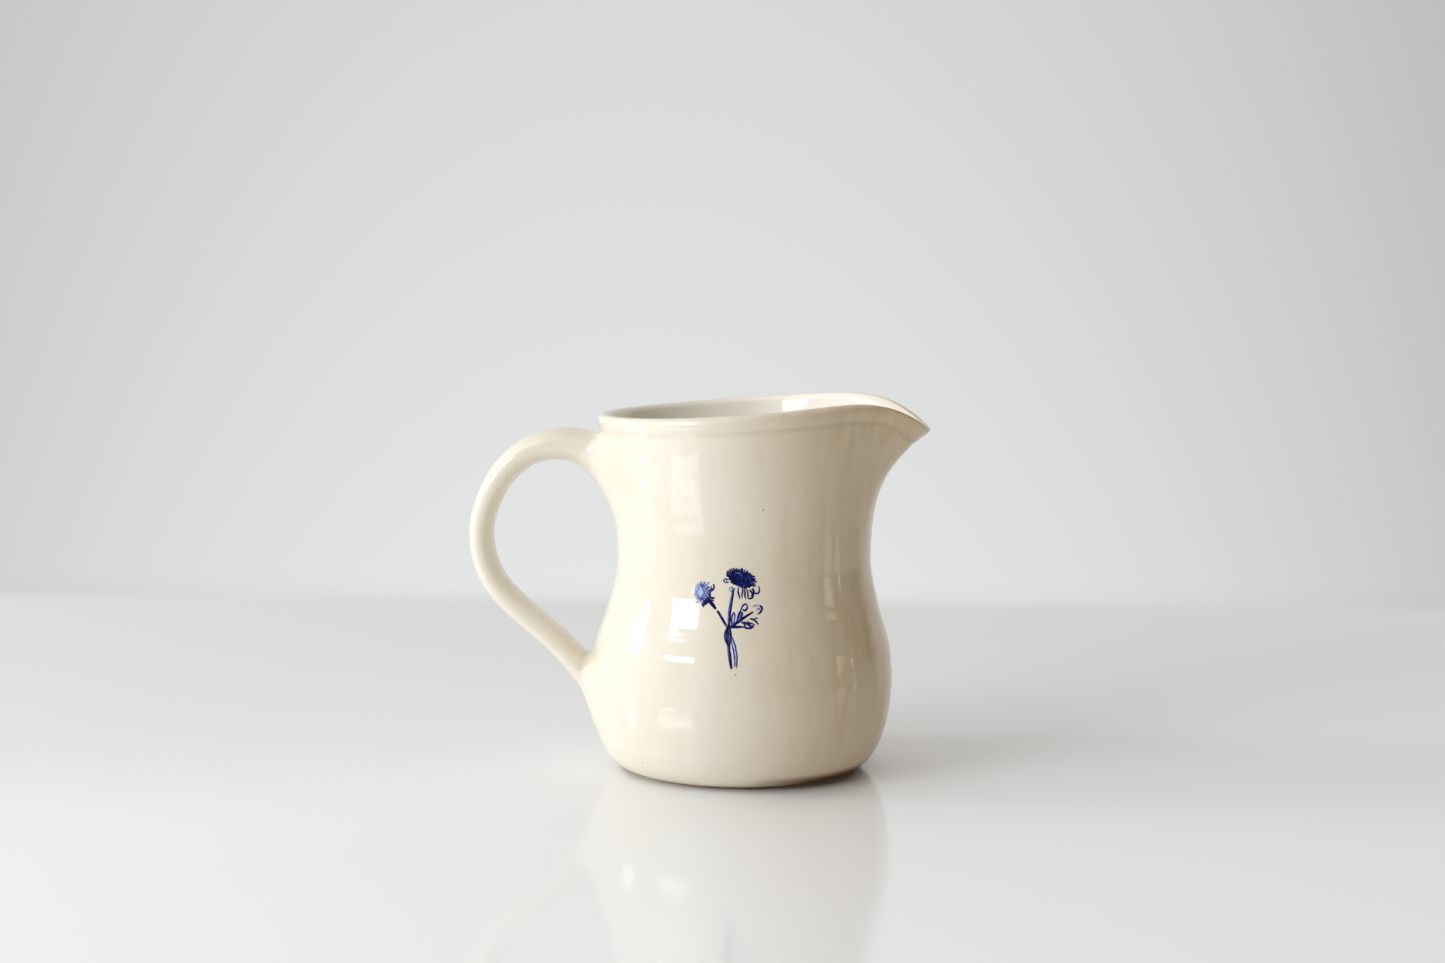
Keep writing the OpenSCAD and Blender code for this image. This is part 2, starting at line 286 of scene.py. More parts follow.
# The pulled handle: u runs along it, from -1 at the neck through 0 at the bow to 1 at the belly
handleLow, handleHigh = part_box("pulled_handle")
strap = {
    "width": 11.5, "thickness": 5.4, "softness": 0.85,
    "reach": -handleLow.x / mm - 2.7, "bowHeight": 58.4, "topHeight": 75, "footHeight": 10,
    "neckRoot": 28, "bellyRoot": 31,
    "neckRun": (28, 16.8), "bowRunUp": 6.8, "bowRunDown": 21.8, "bellyRun": (13, 29),
    "upperFlare": 0.6, "lowerFlare": 0.05, "widthFlare": 0.3,
    "ringPoints": 40, "rings": 56,
    # each blended join, on the finger side and on the outside: how far off the wall it starts, and how
    # far along the wall it ends
    "upperJoin": ((10, 16.5), (2.4, 3)), "lowerJoin": ((2.8, 5), (3.2, 10)),
    "joinRows": 9, "skirt": 0.9, "skirtSink": 0.05, "hiddenSink": 0.25,
    "slipShrink": 0.94, "slipTip": 1.05, "slipCore": -0.4, "slipLift": 0.02,
}


def strapCentre(u):
    s = strap
    bow = (-s["reach"], s["bowHeight"])
    if u < 0:
        return bezier([(-s["neckRoot"], s["topHeight"]),
                       (-s["neckRoot"] - s["neckRun"][0], s["topHeight"] + s["neckRun"][1]),
                       (bow[0], bow[1] + s["bowRunUp"]), bow], u + 1)
    return bezier([bow, (bow[0], bow[1] - s["bowRunDown"]),
                   (-s["bellyRoot"] - s["bellyRun"][0], s["footHeight"] + s["bellyRun"][1]),
                   (-s["bellyRoot"], s["footHeight"])], u)


def strapPoint(u, turn, coat):
    # A point on the strap at u, from -1 at the neck to 1 at the belly, and its outward direction
    s = strap
    centre = strapCentre(u)
    ahead = strapCentre(min(u + 0.01, 1)) - strapCentre(max(u - 0.01, -1))
    ahead /= np.linalg.norm(ahead)
    flare = s["upperFlare"] if u < 0 else s["lowerFlare"]
    halfThick = s["thickness"] / 2 * (1 + flare * u * u) + coat
    halfWide = s["width"] / 2 * (1 + s["widthFlare"] * u * u) + coat
    across = math.copysign(abs(cosine(turn)) ** s["softness"], cosine(turn))
    along = math.copysign(abs(sine(turn)) ** s["softness"], sine(turn))
    normal = Vector((ahead[1], 0, -ahead[0]))
    side = Vector((0, 1, 0))
    point = Vector((centre[0], 0, centre[1])) + normal * halfThick * across + side * halfWide * along
    outward = (normal * cosine(turn) / halfThick + side * sine(turn) / halfWide).normalized()
    return point, outward


def wallAzimuth(point):
    return math.degrees(math.atan2(point.y, point.x - leanAt(point.z)))


def clearance(point, coat):
    reach = math.hypot(point.x - leanAt(point.z), point.y)
    return reach - wallRadius(point.z, wallAzimuth(point)) - coat


def setClearance(point, gap, coat):
    azimuth = wallAzimuth(point)
    radius = wallRadius(point.z, azimuth) + coat + gap
    return Vector((radius * cosine(azimuth) + leanAt(point.z), radius * sine(azimuth), point.z))


def stationAt(turn, end, gap, coat):
    # The station u, towards one end, at which a line along the strap is a gap away from the wall
    near, far = 0.0, float(end)
    for _ in range(26):
        middle = (near + far) / 2
        if clearance(strapPoint(middle, turn, coat)[0], coat) > gap:
            near = middle
        else:
            far = middle
    return (near + far) / 2


def joinRadius(end, turn):
    # How far off the wall the join starts, and how far along the wall it ends
    inside, outside = strap["upperJoin"] if end < 0 else strap["lowerJoin"]
    share = (1 + cosine(turn)) / 2
    return [near + (far - near) * share for near, far in zip(inside, outside)]


def wallNormal(point):
    azimuth = wallAzimuth(point)
    slope = wallRadius(point.z + 0.3, azimuth) - wallRadius(point.z - 0.3, azimuth)
    return Vector((cosine(azimuth), sine(azimuth), -slope / 0.6)).normalized()


def joinPoint(end, turn, angle, coat, shrink=1):
    # angle runs from 0, where the join leaves the strap, to 90, where it lies along the wall
    off, along = joinRadius(end, turn)
    gap = off * shrink * (1 - sine(angle))
    point, outward = strapPoint(stationAt(turn, end, gap, coat), turn, coat)
    normal = wallNormal(point)
    sideways = (outward - normal * outward.dot(normal)).normalized()
    spread = point + sideways * along * shrink * (1 - cosine(angle))
    return setClearance(spread, gap, coat), sideways


def joinRows(end, coat, shrink=1):
    turns = [360 * i / strap["ringPoints"] for i in range(strap["ringPoints"])]
    rows = []
    for i in range(1, strap["joinRows"] + 1):
        angle = 90 * i / strap["joinRows"]
        rows.append([joinPoint(end, turn, angle, coat, shrink)[0] for turn in turns])
    skirt = []
    hidden = []
    for turn in turns:
        point, sideways = joinPoint(end, turn, 90, coat, shrink)
        skirt.append(setClearance(point + sideways * strap["skirt"], -strap["skirtSink"], coat))
        hidden.append(setClearance(point, -strap["hiddenSink"], coat))
    return rows + [skirt, hidden]


def strapRows(coat, joined):
    # Rings from neck to belly, evenly spaced along each line; joined, they stop where the joins start,
    # and otherwise one millimetre inside the wall
    count = strap["rings"]
    rows = [[] for _ in range(count + 1)]
    for i in range(strap["ringPoints"]):
        turn = 360 * i / strap["ringPoints"]
        first = stationAt(turn, -1, joinRadius(-1, turn)[0] if joined else -1, coat)
        last = stationAt(turn, 1, joinRadius(1, turn)[0] if joined else -1, coat)
        for k in range(count + 1):
            rows[k].append(strapPoint(first + (last - first) * (k / count), turn, coat)[0])
    return rows


def ringTube(rows):
    # A capped tube through rings of the same number of points, extruded from the first to the last
    bm = bmesh.new()
    bmesh.ops.create_circle(bm, cap_ends=True, segments=len(rows[0]), radius=1)
    place = bm.verts.layers.int.new("place")
    for index, vert in enumerate(bm.verts):
        vert[place] = index
        vert.co = rows[0][index] * mm
    for row in rows[1:]:
        rim = [edge for edge in bm.edges if edge.is_boundary]
        grown = bmesh.ops.extrude_edge_only(bm, edges=rim)["geom"]
        for vert in [item for item in grown if isinstance(item, bmesh.types.BMVert)]:
            vert.co = row[vert[place]] * mm
    bmesh.ops.holes_fill(bm, edges=[edge for edge in bm.edges if edge.is_boundary], sides=0)
    bmesh.ops.recalc_face_normals(bm, faces=bm.faces)
    return bm


def handleRows(coat):
    return joinRows(-1, coat)[::-1] + strapRows(coat, True) + joinRows(1, coat)


def slipRows(end):
    # A sleeve of slip: out along the wall, up the join and back down inside it
    lift = strap["slipLift"]
    outer = joinRows(end, lift, strap["slipShrink"])
    tip = []
    core = []
    for i in range(strap["ringPoints"]):
        turn = 360 * i / strap["ringPoints"]
        gap = joinRadius(end, turn)[0] * strap["slipTip"]
        tip.append(strapPoint(stationAt(turn, end, gap, lift), turn, lift)[0])
        core.append(strapPoint(stationAt(turn, end, gap, 0), turn, strap["slipCore"])[0])
    return outer[::-1] + [tip, core]


print("shapes ready")


def wallPlace(s, height, lift):
    # s is the distance round the wall from the middle of the jug's face
    radius = wallRadius(height, -90)
    azimuth = math.degrees(s / radius) - 90
    radius = wallRadius(height, azimuth) + vessel["glaze"] + lift
    return Vector((radius * cosine(azimuth) + leanAt(height), radius * sine(azimuth), height)) * mm


def inkStroke(bm, path, width, shade, steps=8, ends=(0.2, 0.2), lift=0.03):
    # A tapered stroke of ink along a curve of four points; ends are how wide it starts and finishes
    layer = bm.verts.layers.float["ink"]
    made = bmesh.ops.create_grid(bm, x_segments=steps, y_segments=2, size=1)["verts"]
    for vert in made:
        t = (vert.co.x + 1) / 2
        across = vert.co.y
        middle = bezier(path, t)
        ahead = bezier(path, min(t + 0.02, 1)) - bezier(path, max(t - 0.02, 0))
        ahead /= max(np.linalg.norm(ahead), 1e-6)
        swell = ends[0] + (ends[1] - ends[0]) * t + (1 - (ends[0] + ends[1]) / 2) * sine(180 * t)
        spot = middle + np.array([-ahead[1], ahead[0]]) * across * swell * width / 2
        vert.co = wallPlace(spot[0], spot[1], lift - 0.015 * abs(across))
        vert[layer] = shade
    bm.normal_update()
    faces = {face for vert in made for face in vert.link_faces}
    backwards = [face for face in faces if face.normal.y > 0]
    bmesh.ops.reverse_faces(bm, faces=backwards)


def newPrint():
    bm = bmesh.new()
    bm.verts.layers.float.new("ink")
    return bm


def petal(bm, root, angle, length, width, bend, shade, lift=0.03):
    ahead = np.array([cosine(angle), sine(angle)])
    side = np.array([-ahead[1], ahead[0]])
    path = [root, root + ahead * length * 0.35 + side * bend * 0.3,
            root + ahead * length * 0.7 + side * bend * 0.8, root + ahead * length + side * bend]
    inkStroke(bm, path, width, shade, steps=5, ends=(0.5, 0.05), lift=lift)


def printCentre(node):
    low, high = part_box(node)
    middle = (low + high) / 2
    return np.array([middle.x / mm - leanAt(middle.z / mm), middle.z / mm])


# How heavily a drawn stroke is inked: its least width, the growth of its width and its two ends
pen = {"least": 0.08, "gain": 1.15, "steps": 10, "ends": (0.7, 0.55)}


def drawing(bm, origin, strokes):
    # Each stroke is its curve measured from the origin, its width and its shade
    for points, width, shade in strokes:
        path = [origin + np.array(point) for point in points]
        inkStroke(bm, path, pen["least"] + pen["gain"] * width, shade, steps=pen["steps"], ends=pen["ends"])


largeHead = {
    "centre": printCentre("large_blossom_print"),
    "dome": (-0.1, 0.75), "wide": 3.45, "high": 1.95, "tilt": -20,
    "florets": 90, "rays": 26, "seed": 4,
    "curls": [
        ([(-3.1, 0.5), (-4.0, 1.1), (-4.6, 0.1), (-3.6, -0.3)], 0.30, 0.45),
        ([(-3.0, 0.0), (-3.4, -0.4), (-3.7, 0.0), (-3.4, 0.4)], 0.24, 0.5),
        ([(2.8, -2.2), (3.8, -3.4), (4.7, -2.2), (4.0, -0.9)], 0.32, 0.75),
        ([(1.9, -1.8), (3.1, -2.8), (3.0, -4.1), (1.6, -3.8)], 0.42, 0.9),
        ([(2.5, -1.4), (3.3, -2.2), (2.9, -3.4), (2.2, -3.2)], 0.42, 0.9),
        ([(-0.6, -1.1), (-1.1, -2.4), (-0.3, -3.1), (-0.3, -4.0)], 0.32, 0.6),
        ([(0.0, -1.2), (0.8, -2.2), (-0.2, -2.8), (0.3, -3.7)], 0.30, 0.6),
        ([(0.6, -1.5), (1.2, -2.6), (0.5, -3.2), (1.2, -3.9)], 0.32, 0.7),
        ([(1.2, -1.6), (1.9, -2.5), (1.2, -3.4), (2.0, -4.0)], 0.30, 0.7),
        ([(-2.7, -1.2), (-3.0, -2.3), (-2.1, -2.6), (-2.0, -1.5)], 0.24, 0.35),
        ([(-2.2, -1.0), (-2.4, -1.7), (-1.6, -2.1), (-1.5, -1.3)], 0.28, 0.6),
        ([(-0.4, 1.9), (-0.7, 2.3), (-1.1, 2.2), (-1.3, 1.9)], 0.22, 0.3),
    ],
}


def largeBlossomPrint():
    d = largeHead
    dice = random.Random(d["seed"])
    bm = newPrint()
    turn = Matrix.Rotation(math.radians(d["tilt"]), 2)

    def domePlace(angle, share):
        spot = turn @ Vector((cosine(angle) * d["wide"] * share, sine(angle) * d["high"] * share))
        return d["centre"] + np.array(d["dome"]) + np.array(spot)

    # rows of overlapping florets fill the dome, darkest low on its right
    for i in range(7):
        level = -0.75 + 0.25 * i
        half = math.sqrt(1 - level * level)
        row = [Vector((half * x * d["wide"], level * d["high"])) for x in (-0.92, -0.3, 0.3, 0.92)]
        path = [d["centre"] + np.array(d["dome"]) + np.array(turn @ point) for point in row]
        inkStroke(bm, path, 0.85, 0.95, steps=12, ends=(0.6, 0.8), lift=0.02)
    for i in range(d["florets"]):
        share = math.sqrt(dice.random())
        spot = domePlace(dice.uniform(0, 360), share * 0.9)
        out = math.degrees(math.atan2(spot[1] - d["centre"][1] + 2.4, spot[0] - d["centre"][0]))
        shade = 1.0 if dice.random() > 0.3 else 0.62
        petal(bm, spot, out + dice.uniform(-25, 25), dice.uniform(0.5, 0.9), dice.uniform(0.22, 0.42),
              dice.uniform(-0.2, 0.2), shade, 0.035 + 0.02 * dice.random())
    for i in range(d["rays"]):
        angle = -15 + 210 * i / (d["rays"] - 1)
        spot = domePlace(angle, 0.93)
        petal(bm, spot, angle + d["tilt"] + dice.uniform(-22, 22), dice.uniform(0.4, 0.85),
              dice.uniform(0.3, 0.48), dice.uniform(-0.15, 0.15), dice.uniform(0.55, 0.95))
    drawing(bm, d["centre"], d["curls"])
    return bm


smallHead = {
    "centre": printCentre("small_blossom_print"), "cells": (-0.15, 0.25), "wide": 2.0, "high": 2.35,
    "arcs": 8, "hairs": 26, "seed": 9,
    "calyx": [
        ([(-0.4, -2.5), (0.1, -2.6), (1.0, -1.9), (1.6, -0.9)], 0.75, 0.95),
        ([(-0.1, -2.1), (0.6, -1.9), (1.3, -1.2), (1.7, -0.2)], 0.65, 0.9),
        ([(0.3, -2.0), (1.0, -1.8), (1.4, -1.5), (1.8, -1.7)], 0.8, 1.0),
        ([(-0.2, -2.2), (-0.1, -2.6), (0.0, -3.0), (0.15, -3.2)], 0.35, 0.7),
        ([(1.5, -0.7), (2.0, -1.0), (2.6, -1.1), (2.7, -0.8)], 0.38, 0.8),
        ([(1.6, -1.3), (2.2, -1.5), (2.5, -1.7), (2.6, -1.6)], 0.30, 0.7),
        ([(1.6, 0.6), (2.3, 0.8), (2.8, 1.5), (2.3, 2.3)], 0.40, 0.85),
        ([(1.3, 0.0), (1.9, 0.4), (2.0, 1.2), (1.7, 1.9)], 0.30, 0.7),
        ([(-2.1, -1.9), (-1.7, -2.2), (-1.3, -2.0), (-1.0, -2.3)], 0.22, 0.4),
        ([(1.0, 2.2), (1.1, 2.5), (1.2, 2.7), (1.25, 2.8)], 0.22, 0.4),
    ],
}


def smallBlossomPrint():
    d = smallHead
    dice = random.Random(d["seed"])
    bm = newPrint()
    middle = d["centre"] + np.array(d["cells"])
    # a pale wash, then two families of crossing arcs, which darken from the left to the right
    for i in range(9):
        x = -0.88 + 0.22 * i
        half = math.sqrt(1 - x * x) * d["high"] * 0.93
        path = [middle + np.array([x * d["wide"], y * half]) for y in (-1, -0.33, 0.33, 1)]
        inkStroke(bm, path, 0.62, 0.08 + 0.07 * max(x, 0), ends=(0.7, 0.7), lift=0.015)
    for i in range(d["arcs"]):
        share = (i + 0.5) / d["arcs"]
        for way in (1, -1):
            start = 205 - 100 * share if way > 0 else 155 + 100 * share
            finish = start - way * (70 + 90 * share)
            ends = [middle + np.array([cosine(a) * d["wide"], sine(a) * d["high"]]) * 0.95
                    for a in (start, finish)]
            bow = np.array([0.5 - share, way * 0.35])
            for part in range(4):
                a, b = part / 4, (part + 1) / 4
                places = [ends[0] + (ends[1] - ends[0]) * t + bow * sine(180 * t)
                          for t in (a, a + (b - a) / 3, b - (b - a) / 3, b)]
                rightness = clamp(0.5 + (places[1][0] - middle[0]) / (2 * d["wide"]))
                inkStroke(bm, places, 0.13 + 0.17 * rightness, 0.3 + 0.65 * rightness ** 1.3
                          + dice.uniform(-0.1, 0.1), steps=4, ends=(0.7, 0.7))
    for i in range(d["hairs"]):
        angle = 70 + 190 * i / (d["hairs"] - 1)
        spot = middle + np.array([cosine(angle) * d["wide"], sine(angle) * d["high"]]) * 0.97
        petal(bm, spot, angle + dice.uniform(-60, 60), 0.35, 0.2, 0, dice.uniform(0.25, 0.5))
    drawing(bm, d["centre"], d["calyx"])
    return bm


# Stalks, in place round the wall: curve, width and shade of each stroke
stems = {
    "strokes": [
        ([(-1.2, 48.9), (-1.5, 46.5), (-2.2, 43.7), (-2.0, 39.9)], 0.62, 0.92),
        ([(-1.1, 48.6), (-1.4, 46.5), (-2.0, 44.0), (-1.8, 40.2)], 0.40, 0.8),
        ([(-7.2, 46.5), (-6.4, 45.7), (-5.7, 45.0), (-5.2, 44.3)], 0.72, 0.95),
        ([(-5.0, 44.0), (-4.3, 43.2), (-3.6, 41.8), (-2.4, 40.0)], 0.30, 0.85),
        ([(-4.7, 44.0), (-4.0, 43.1), (-3.3, 41.8), (-2.1, 40.2)], 0.24, 0.65),
        ([(-4.8, 43.9), (-4.6, 43.6), (-4.4, 43.3), (-4.2, 43.0)], 0.45, 0.9),
        ([(-2.1, 40.2), (-2.9, 39.0), (-2.8, 37.6), (-1.9, 36.0)], 0.75, 0.95),
        ([(-2.0, 40.2), (-1.5, 38.8), (-1.6, 37.4), (-1.8, 35.8)], 0.72, 0.98),
        ([(-2.2, 39.6), (-2.3, 38.6), (-2.2, 37.6), (-2.0, 36.6)], 0.60, 1.0),
        ([(-2.1, 37.2), (-1.7, 34.7), (-1.5, 32.8), (-1.0, 30.7)], 0.62, 0.9),
        ([(-1.8, 36.9), (-1.5, 34.9), (-1.3, 33.2), (-0.9, 31.0)], 0.34, 0.65),
        ([(-1.5, 38.6), (-0.5, 36.5), (0.5, 34.6), (0.15, 31.0)], 0.30, 0.7),
        ([(-1.6, 38.0), (-1.0, 36.2), (-0.3, 34.0), (-0.3, 31.2)], 0.26, 0.6),
        ([(-1.0, 36.9), (-0.5, 35.6), (0.1, 34.2), (-0.1, 31.6)], 0.40, 0.22),
        ([(-0.15, 29.6), (-0.1, 29.5), (-0.05, 29.4), (0.0, 29.3)], 0.40, 0.3),
    ],
}


def stemPrint():
    bm = newPrint()
    drawing(bm, np.zeros(2), stems["strokes"])
    return bm


# A cut leaf, in place round the wall: its midrib, then lobes drawn as loops and forked tips
leaf = {
    "strokes": [
        ([(-1.9, 40.1), (-0.3, 41.1), (0.9, 42.2), (3.6, 43.8)], 0.55, 0.97),
        ([(-0.6, 41.0), (0.2, 41.5), (0.9, 42.0), (1.6, 42.6)], 0.62, 1.0),
        ([(-1.8, 40.1), (-0.5, 40.6), (0.4, 40.3), (1.5, 40.4)], 0.42, 0.85),
        ([(-1.8, 40.1), (-0.6, 40.2), (0.6, 40.2), (1.4, 40.3)], 0.30, 0.7),
        ([(0.9, 41.2), (2.0, 41.9), (2.6, 40.3), (3.7, 40.5)], 0.42, 0.9),
        ([(1.4, 40.4), (2.4, 39.8), (3.8, 39.9), (3.9, 41.0)], 0.40, 0.85),
        ([(1.1, 41.3), (1.9, 41.0), (2.0, 40.2), (1.5, 40.4)], 0.30, 0.7),
        ([(2.3, 41.7), (2.6, 41.1), (3.2, 41.2), (3.9, 40.9)], 0.32, 0.7),
        ([(2.8, 42.2), (3.7, 42.3), (4.3, 41.7), (4.9, 40.9)], 0.36, 0.85),
        ([(3.7, 42.0), (4.1, 42.4), (4.5, 42.4), (4.8, 42.3)], 0.28, 0.6),
        ([(-1.2, 40.3), (-1.6, 41.9), (-1.4, 43.1), (-0.9, 43.7)], 0.32, 0.7),
        ([(-0.9, 43.7), (-0.4, 42.7), (-0.9, 41.5), (-1.1, 40.4)], 0.28, 0.6),
        ([(-0.3, 41.3), (0.2, 42.6), (0.2, 43.5), (0.8, 44.3)], 0.40, 0.85),
        ([(0.8, 44.3), (0.9, 45.4), (1.9, 46.1), (2.2, 45.1)], 0.34, 0.75),
        ([(2.2, 45.1), (2.2, 44.2), (1.4, 43.7), (1.2, 44.5)], 0.40, 0.8),
        ([(0.3, 41.6), (0.9, 42.5), (1.3, 43.2), (1.0, 43.9)], 0.30, 0.7),
        ([(-0.1, 41.6), (0.6, 42.3), (0.9, 43.0), (0.7, 43.9)], 0.26, 0.5),
        ([(5.0, 45.2), (6.0, 45.0), (5.7, 43.7), (4.7, 43.3)], 0.44, 0.85),
        ([(3.5, 44.9), (3.9, 45.4), (4.6, 45.4), (5.1, 45.0)], 0.22, 0.3),
        ([(4.5, 44.2), (4.7, 44.9), (5.2, 44.6), (5.0, 44.1)], 0.24, 0.45),
    ],
}


def leafPrint():
    bm = newPrint()
    drawing(bm, np.zeros(2), leaf["strokes"])
    return bm


class Wire:
    # A socket that can be used like a number: an expression on it adds its Math nodes
    def __init__(self, socket):
        self.socket = socket

    def node(self, kind, settings=None, inputs=None, output=0):
        made = self.socket.id_data.nodes.new(kind)
        for setting, value in (settings or {}).items():
            if setting == "stops":
                ramp = made.color_ramp
                while len(ramp.elements) < len(value):
                    ramp.elements.new(0.5)
                for element, (position, colour) in zip(ramp.elements, value):
                    element.position = position
                    element.color = colour
            else:
                setattr(made, setting, value)
        for key, value in (inputs or {}).items():
            if isinstance(value, Wire):
                self.socket.id_data.links.new(value.socket, made.inputs[key])
            else:
                made.inputs[key].default_value = value
        return Wire(made.outputs[output])

    def maths(self, operation, first, second=0.0):
        return self.node("ShaderNodeMath", {"operation": operation}, {0: first, 1: second})

    def __add__(self, other):
        return self.maths("ADD", self, other)

    def __radd__(self, other):
        return self.maths("ADD", other, self)

    def __sub__(self, other):
        return self.maths("SUBTRACT", self, other)

    def __rsub__(self, other):
        return self.maths("SUBTRACT", other, self)

    def __mul__(self, other):
        return self.maths("MULTIPLY", self, other)

    def __rmul__(self, other):
        return self.maths("MULTIPLY", other, self)

    def __truediv__(self, other):
        return self.maths("DIVIDE", self, other)

    def __lt__(self, other):
        return self.maths("LESS_THAN", self, other)

    def __gt__(self, other):
        return self.maths("GREATER_THAN", self, other)


def newMaterial(name, settings):
    material = bpy.data.materials.new(name)
    material.use_nodes = True
    shader = material.node_tree.nodes["Principled BSDF"]
    for socket, value in settings.items():
        shader.inputs[socket].default_value = value
    coordinates = material.node_tree.nodes.new("ShaderNodeTexCoord")
    return material, shader, Wire(coordinates.outputs["Object"])


def feed(shader, socket, wire):
    shader.id_data.links.new(wire.socket, shader.inputs[socket])


def noise(where, scale, detail=2.0, roughness=0.5):
    return where.node("ShaderNodeTexNoise", {}, {"Vector": where, "Scale": scale, "Detail": detail,
                                                 "Roughness": roughness})


def axis(where, letter):
    return where.node("ShaderNodeSeparateXYZ", {}, {"Vector": where}, letter)


def bumped(height):
    # Heights in metres
    return height.node("ShaderNodeBump", {}, {"Strength": 1.0, "Distance": 1.0, "Height": height})


def stretched(where, scale):
    return where.node("ShaderNodeMapping", {}, {"Vector": where, "Scale": scale})


def mixed(factor, first, second):
    return factor.node("ShaderNodeMix", {"data_type": "RGBA"}, {0: factor, 6: first, 7: second}, 2)


def ranged(value, low, high):
    return value.node("ShaderNodeMapRange", {"interpolation_type": "SMOOTHSTEP"},
                      {"Value": value, "From Min": low, "From Max": high})


# Heights in the bands are in metres, except the lip band's, which are thrown heights in millimetres
glazeLook = {
    "ivory": (0.86, 0.80, 0.685, 1), "cream": (0.80, 0.72, 0.575, 1), "cloudScale": 38, "pool": 0.007,
    # sideShade: painted shade, darker and browner on the side away from the window, with streaks through it
    "sideShade": (0.73, 0.57, 0.36, 1), "sideShadeDepth": 0.74, "sideShadeFrom": -0.010, "sideShadeTo": 0.040,
    "runs": 0.34, "sideShadeStreakScale": (330, 330, 22),
    # inner: the inside is painted paler, painted light standing in for the window's light through the mouth
    "inner": (0.93, 0.89, 0.80, 1),
    # lipBreakAndShade: glaze broken thin over the lip, partly painted shade under its bead, stronger on the
    # shaded side
    "lipBreakAndShade": (0.56, 0.45, 0.31, 1), "lipBreakAndShadeDepth": 0.45, "lipBreakAndShadeBand": (83.3, 84.1, 84.4, 85.1),
    "lipBreakAndShadeLeast": 0.35,
    # footShade: painted shade, dark and warm, low on the shaded side near the foot
    "footShade": (0.22, 0.075, 0.02, 1), "footShadeBand": (0.0020, 0.0042), "footShadeTo": 0.020,
    "speck": (0.22, 0.15, 0.09, 1), "speckDepth": 0.7,
    "speckSpacing": 0.011, "speckSize": 0.00022, "speckShare": 0.55,
    "gloss": 0.05, "unevenGloss": 0.05, "glossScale": 90,
    "peelDepth": 0.00003, "peelScale": 260, "lineDepth": 0.00006, "lineScale": (14, 14, 330),
    "swayDepth": 0.00022, "swayScale": (150, 150, 42),
}


def glazeTone(where):
    g = glazeLook
    height = axis(where, "Z")
    across = axis(where, "X")
    thrown = where.node("ShaderNodeAttribute", {"attribute_name": "thrownHeight"}, {}, "Fac")
    outside = ranged(thrown, 0.0, 1.0)
    pooled = ranged(height, g["pool"], 0.0)
    sideShadeMask = ranged(across, g["sideShadeFrom"], g["sideShadeTo"]) * outside  # painted shade: the side away from the window, towards the spout, is painted darker and browner
    # a band under the lip's bead: partly glaze broken over the edge, partly painted shade, deeper on the
    # painted shaded side
    low, lowFull, highFull, high = g["lipBreakAndShadeBand"]
    lipBreakAndShade = ranged(thrown, low, lowFull) * ranged(thrown, high, highFull)
    lipBreakAndShade = lipBreakAndShade * (g["lipBreakAndShadeLeast"] + (1 - g["lipBreakAndShadeLeast"]) * sideShadeMask)
    # painted shade: a dark brown band low on the side away from the window, just above the table
    footShadeLow, footShadeHigh = g["footShadeBand"]
    footShade = ranged(height, footShadeHigh, footShadeLow) * ranged(across, 0.0, g["footShadeTo"]) * outside
    # vertical streaks within the painted side shade
    runs = ranged(noise(stretched(where, g["sideShadeStreakScale"]), 1, 3), 0.42, 0.72)
    cloud = ranged(noise(where, g["cloudScale"], 3), 0.3, 0.75)
    tone = mixed(cloud * 0.5 + pooled * 0.5, g["ivory"], g["cream"])
    # painted light: the inside takes the paler inner colour
    tone = mixed(ranged(thrown, 0.0, -1.0), tone, g["inner"])
    tone = mixed(sideShadeMask * (g["sideShadeDepth"] + g["runs"] * runs), tone, g["sideShade"])
    tone = mixed(lipBreakAndShade * g["lipBreakAndShadeDepth"], tone, g["lipBreakAndShade"])
    return mixed(footShade, tone, g["footShade"])


def glazeSpecks(where):
    # A dot in the middle of some of the cells
    g = glazeLook
    site = {"Vector": where, "Scale": 1 / g["speckSpacing"]}
    away = where.node("ShaderNodeTexVoronoi", {}, site, "Distance")
    lot = where.node("ShaderNodeTexVoronoi", {}, site, "Color")
    chosen = lot.node("ShaderNodeSeparateColor", {}, {"Color": lot}, "Red") > g["speckShare"]
    size = g["speckSize"] / g["speckSpacing"]
    return ranged(away, size * 1.7, size) * chosen


def glazeMaterial():
    g = glazeLook
    material, shader, where = newMaterial("ivoryGlaze", {"IOR": 1.52})
    feed(shader, "Base Color", mixed(glazeSpecks(where) * g["speckDepth"], glazeTone(where), g["speck"]))
    gloss = ranged(noise(where, g["glossScale"], 2), 0.35, 0.7)
    feed(shader, "Roughness", g["gloss"] + g["unevenGloss"] * gloss)
    lines = noise(stretched(where, g["lineScale"]), 1, 2)
    peel = noise(where, g["peelScale"], 1)
    sway = noise(stretched(where, g["swayScale"]), 1, 2)
    feed(shader, "Normal", bumped(lines * g["lineDepth"] + peel * g["peelDepth"] + sway * g["swayDepth"]))
    return material


clayLook = {
    "body": (0.62, 0.42, 0.26, 1), "pale": (0.78, 0.64, 0.48, 1), "iron": (0.25, 0.15, 0.08, 1),
    "cloudScale": 120, "grogScale": 700.0, "grainScale": 2400, "grainDepth": 0.00005,
}


def clayMaterial():
    c = clayLook
    material, shader, where = newMaterial("firedClay", {"IOR": 1.45})
    tone = mixed(ranged(noise(where, c["cloudScale"], 4), 0.3, 0.7), c["body"], c["pale"])
    grog = where.node("ShaderNodeTexVoronoi", {}, {"Vector": where, "Scale": c["grogScale"]}, "Distance")
    feed(shader, "Base Color", mixed(ranged(grog, 0.16, 0.08) * 0.5, tone, c["iron"]))
    grain = noise(where, c["grainScale"], 3)
    feed(shader, "Roughness", 0.7 + 0.2 * grain)
    feed(shader, "Normal", bumped(grain * c["grainDepth"]))
    return material


